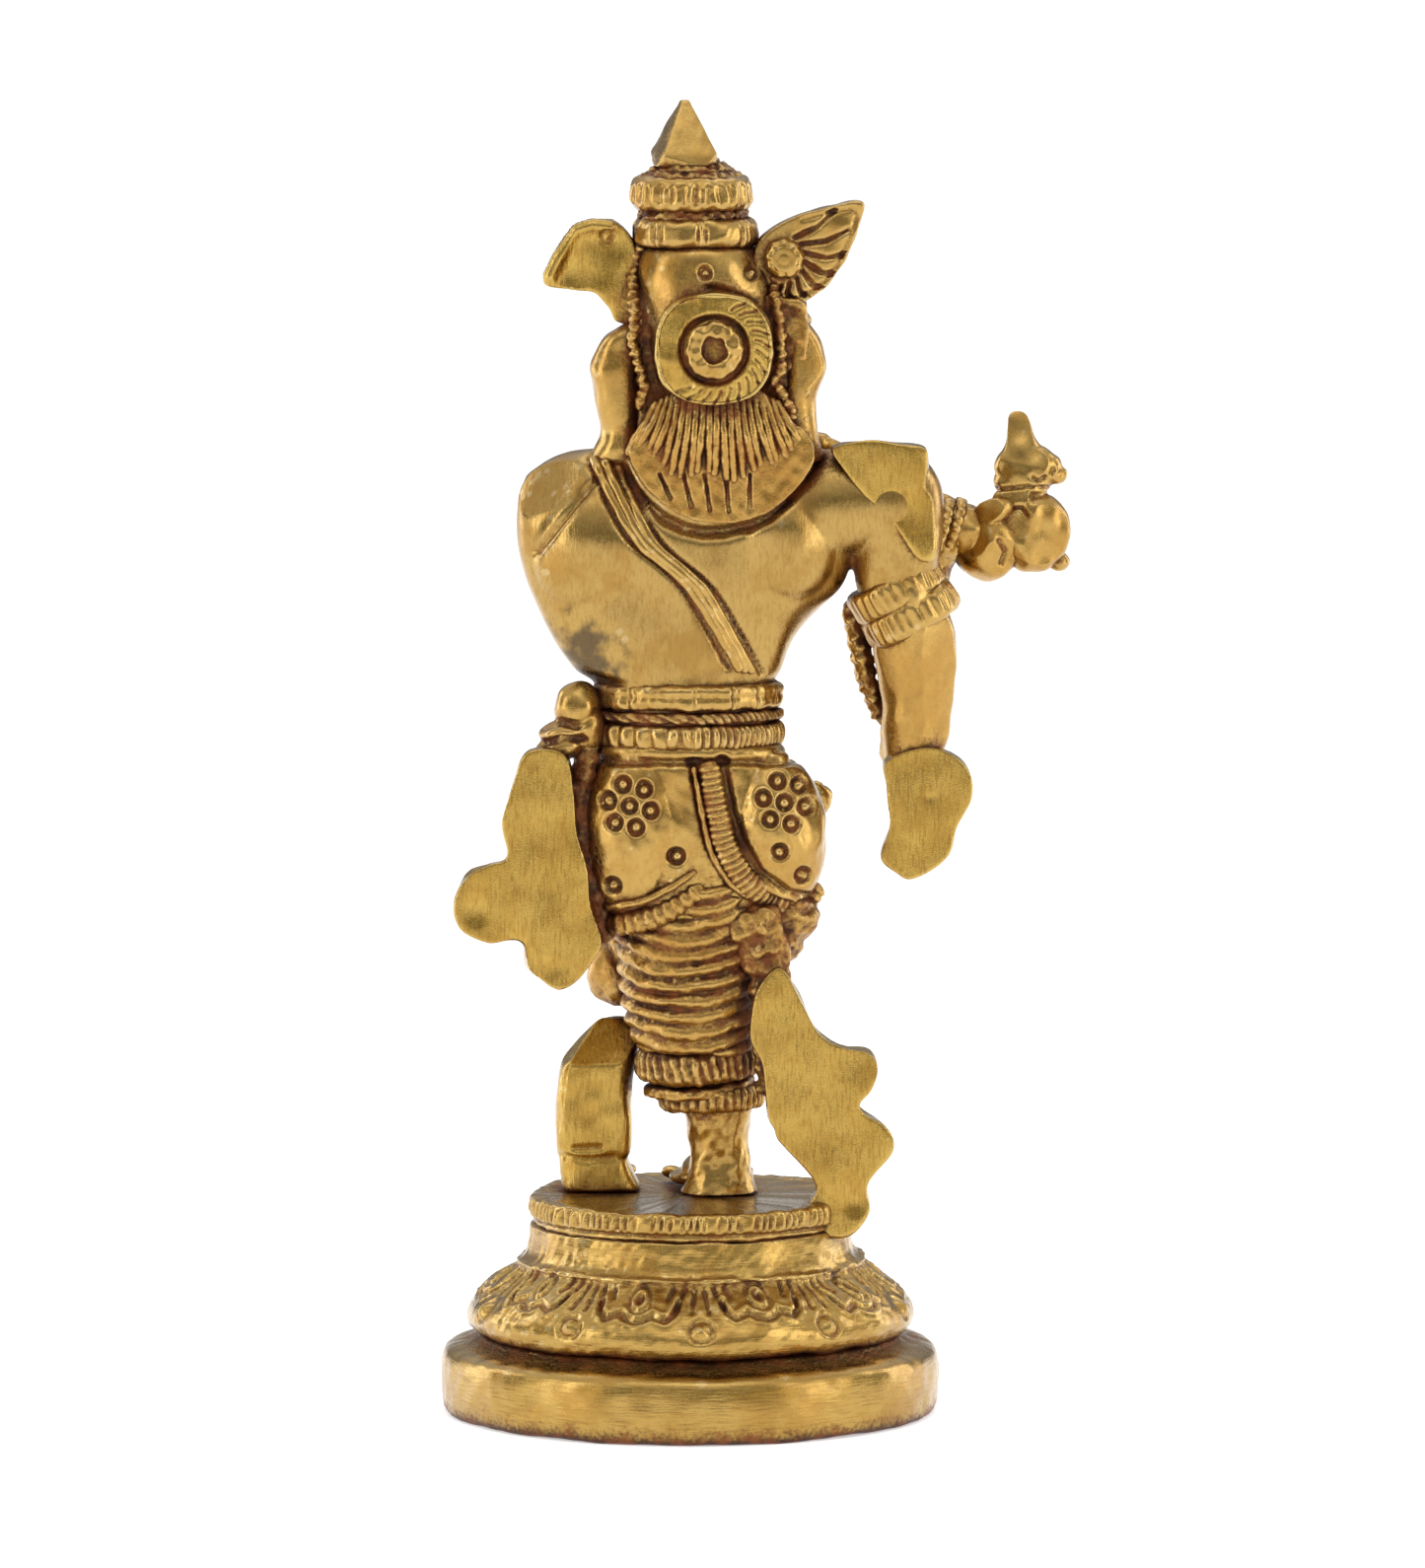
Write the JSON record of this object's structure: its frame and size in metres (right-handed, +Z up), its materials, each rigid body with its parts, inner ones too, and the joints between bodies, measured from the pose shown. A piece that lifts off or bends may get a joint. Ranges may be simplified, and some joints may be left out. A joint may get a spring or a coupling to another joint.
{
  "type": "brass flute player statuette",
  "caption": "Small cast brass figure in a tall crown, playing a flute with crossed legs, on a round lotus pedestal and plain plinth; stands on a flat underside.",
  "frame": {"origin": "centre of the round plinth's flat underside, on the surface it stands on", "axes": "+Z up through the pedestal to the crown; the figure faces -Y, so its right hand and the flute's free end are on the -X side"},
  "size_m": [0.0479, 0.038, 0.1],
  "materials": {
    "brass_cast": "worn polished cast brass, dark brown in the recesses",
    "brass_filed": "flat filed brass with fine scratches",
    "brass_aged": "ribbed cast brass with brown patina",
    "brass_turned": "brushed and engraved brass"
  },
  "bodies": {
    "root": {"plinth": "brass_turned", "lotus_pedestal": "brass_turned", "platform_disc": "brass_turned", "standing_shin": "brass_cast", "standing_foot": "brass_cast", "lower_cuff": "brass_aged", "upper_cuff": "brass_aged", "dhoti_folds": "brass_aged", "crossed_shin": "brass_filed", "crossed_foot": "brass_cast", "crossed_thigh": "brass_aged", "dhoti_seat": "brass_cast", "seat_hem": "brass_aged", "thigh_hem": "brass_aged", "front_pleats": "brass_cast", "front_sash": "brass_cast", "torso": "brass_cast", "beaded_girdle": "brass_cast", "girdle_ridge": "brass_aged", "waistband": "brass_cast", "belt_clasp": "brass_cast", "sacred_thread": "brass_cast", "necklace": "brass_cast", "hip_knot": "brass_cast", "hip_sash_end": "brass_filed", "leg_sash_end": "brass_filed", "flute": "brass_cast", "right_upper_arm": "brass_cast", "right_armlet_upper": "brass_cast", "right_armlet_lower": "brass_cast", "right_forearm": "brass_cast", "right_hand": "brass_cast", "right_fingers": "brass_cast", "shoulder_scarf": "brass_filed", "arm_scarf_end": "brass_filed", "arm_scarf_strip": "brass_aged", "left_upper_arm": "brass_cast", "left_armlet": "brass_cast", "left_forearm": "brass_cast", "left_bangle": "brass_cast", "left_hand": "brass_cast", "head": "brass_cast", "head_disc": "brass_filed", "disc_boss": "brass_cast", "hair_fan": "brass_aged", "left_hair_lock": "brass_cast", "right_hair_lock": "brass_cast", "crown_rim": "brass_cast", "crown_neck": "brass_aged", "crown_milled_band": "brass_cast", "crown_collar": "brass_aged", "crown_finial": "brass_cast", "crown_wing": "brass_filed", "feather": "brass_cast", "feather_boss": "brass_cast", "crown_front_leaf": "brass_cast"}
  },
  "joints": []
}
